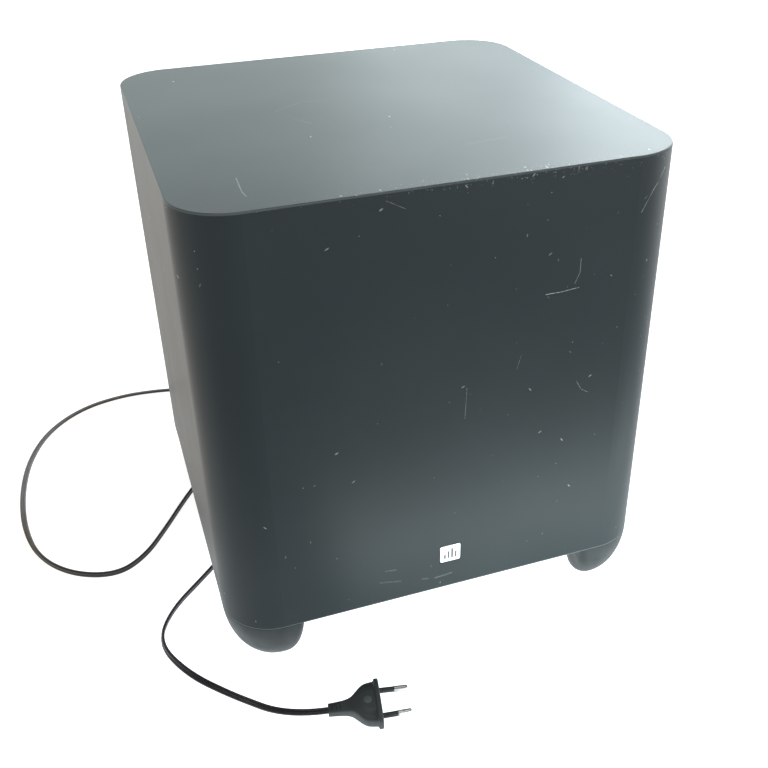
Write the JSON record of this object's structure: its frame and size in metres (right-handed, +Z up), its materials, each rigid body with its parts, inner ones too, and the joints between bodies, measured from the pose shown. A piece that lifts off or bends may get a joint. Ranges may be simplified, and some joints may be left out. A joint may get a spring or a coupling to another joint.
{
  "type": "powered subwoofer",
  "caption": "Free-standing powered subwoofer: a square cabinet on corner feet with a down-firing driver, a rear amplifier tray, a bass port and a mains lead.",
  "frame": {"origin": "on the floor, under the middle of the cabinet", "axes": "+Z up, the front with the badge faces -Y, the amplifier tray and the mains lead face +Y, +X to the right seen from the front"},
  "size_m": [0.4413, 0.4911, 0.332],
  "materials": {
    "cabinet_finish": "matt dark grey textured film over MDF",
    "board": "black stained MDF",
    "foot_plastic": "fine textured moulding",
    "pad_rubber": "soft matt",
    "surround_rubber": "satin butyl rubber",
    "gasket_foam": "matt foam",
    "black_screw": "black zinc",
    "zinc_screw": "bright zinc",
    "badge_metal": "satin silver",
    "badge_ink": "dark grey relief",
    "basket_paint": "black powder coat",
    "zinc_plate": "zinc plated",
    "ferrite": "sintered ferrite",
    "cone_paper": "coated paper pulp",
    "former_foil": "foil",
    "coil_copper": "enamelled copper",
    "spider_cloth": "resin-treated cloth",
    "terminal_card": "resin card",
    "wire_jacket": "PVC",
    "port_plastic": "satin black moulding",
    "wadding": "polyester fibre",
    "panel_paint": "fine textured black",
    "chamber_plastic": "plain moulding",
    "circuit_board": "green solder mask",
    "standoff_metal": "turned",
    "transformer_core": "varnished",
    "capacitor_sleeve": "shrink sleeve",
    "heatsink_metal": "black anodised",
    "inductor_winding": "enamelled copper",
    "fuse_glass": "clear",
    "switch_plastic": "black nylon",
    "slider_plastic": "light nylon",
    "pot_metal": "plated",
    "knob_plastic": "soft satin",
    "button_plastic": "satin",
    "light_lens": "diffused",
    "cord_pvc": "satin PVC",
    "plug_pvc": "satin moulded PVC",
    "sleeve_plastic": "insulating sleeve",
    "pin_metal": "nickel plated brass"
  },
  "bodies": {
    "root": {"cabinet_shell": "cabinet_finish", "bottom_baffle": "board", "baffle_battens": "board", "foot_front_left": "foot_plastic", "foot_front_right": "foot_plastic", "foot_rear_left": "foot_plastic", "foot_rear_right": "foot_plastic", "foot_pads": "pad_rubber", "surround": "surround_rubber", "woofer_gasket": "gasket_foam", "panel_gasket": "gasket_foam", "baffle_screws": "black_screw", "woofer_screws": "black_screw", "panel_screws": "black_screw", "foot_screws": "zinc_screw", "badge_plate": "badge_metal", "badge_mark": "badge_ink", "woofer_basket": "basket_paint", "front_plate": "zinc_plate", "pole_yoke": "zinc_plate", "magnet_ring": "ferrite", "spider": "spider_cloth", "woofer_terminal": "terminal_card", "speaker_lead": "wire_jacket", "port_tube": "port_plastic", "acoustic_wadding": "wadding", "amp_panel": "panel_paint", "amp_chamber": "chamber_plastic", "amp_board": "circuit_board", "control_board": "circuit_board", "board_standoffs": "standoff_metal", "power_transformer": "transformer_core", "filter_capacitors": "capacitor_sleeve", "heatsink": "heatsink_metal", "output_inductors": "inductor_winding", "mains_fuse": "fuse_glass", "rocker_housing": "switch_plastic", "phase_switch_body": "switch_plastic", "pairing_switch": "switch_plastic", "level_pot": "pot_metal", "level_nut": "pot_metal", "status_light": "light_lens", "mains_cord": "cord_pvc", "cord_gland": "cord_pvc", "plug_body": "plug_pvc", "plug_sleeves": "sleeve_plastic", "plug_pins": "pin_metal"},
    "cone_assembly": {"cone": "cone_paper", "dust_cap": "cone_paper", "coil_former": "former_foil", "voice_coil": "coil_copper"},
    "level_control": {"level_knob": "knob_plastic", "level_shaft": "pot_metal"},
    "power_control": {"power_rocker": "switch_plastic"},
    "phase_control": {"phase_slider": "slider_plastic"},
    "pairing_control": {"pairing_button": "button_plastic"}
  },
  "joints": [
    {"name": "cone_stroke", "type": "slide", "parent": "root", "child": "cone_assembly", "axis": [0, 0, 1], "range_m": [-0.005, 0.005], "stiffness_N_per_m": 3000, "deforming": ["surround", "spider"]},
    {"name": "level_turn", "type": "hinge", "parent": "root", "child": "level_control", "pos_m": [0.05, 0.1415, 0.178], "axis": [0, 1, 0], "range_deg": [-150, 150]},
    {"name": "power_tilt", "type": "hinge", "parent": "root", "child": "power_control", "pos_m": [-0.014, 0.1328, 0.118], "axis": [-1, 0, 0], "range_deg": [0, 20]},
    {"name": "phase_slide", "type": "slide", "parent": "root", "child": "phase_control", "axis": [1, 0, 0], "range_m": [0, 0.004]},
    {"name": "pairing_press", "type": "slide", "parent": "root", "child": "pairing_control", "axis": [0, -1, 0], "range_m": [0, 0.0012], "stiffness_N_per_m": 500}
  ]
}
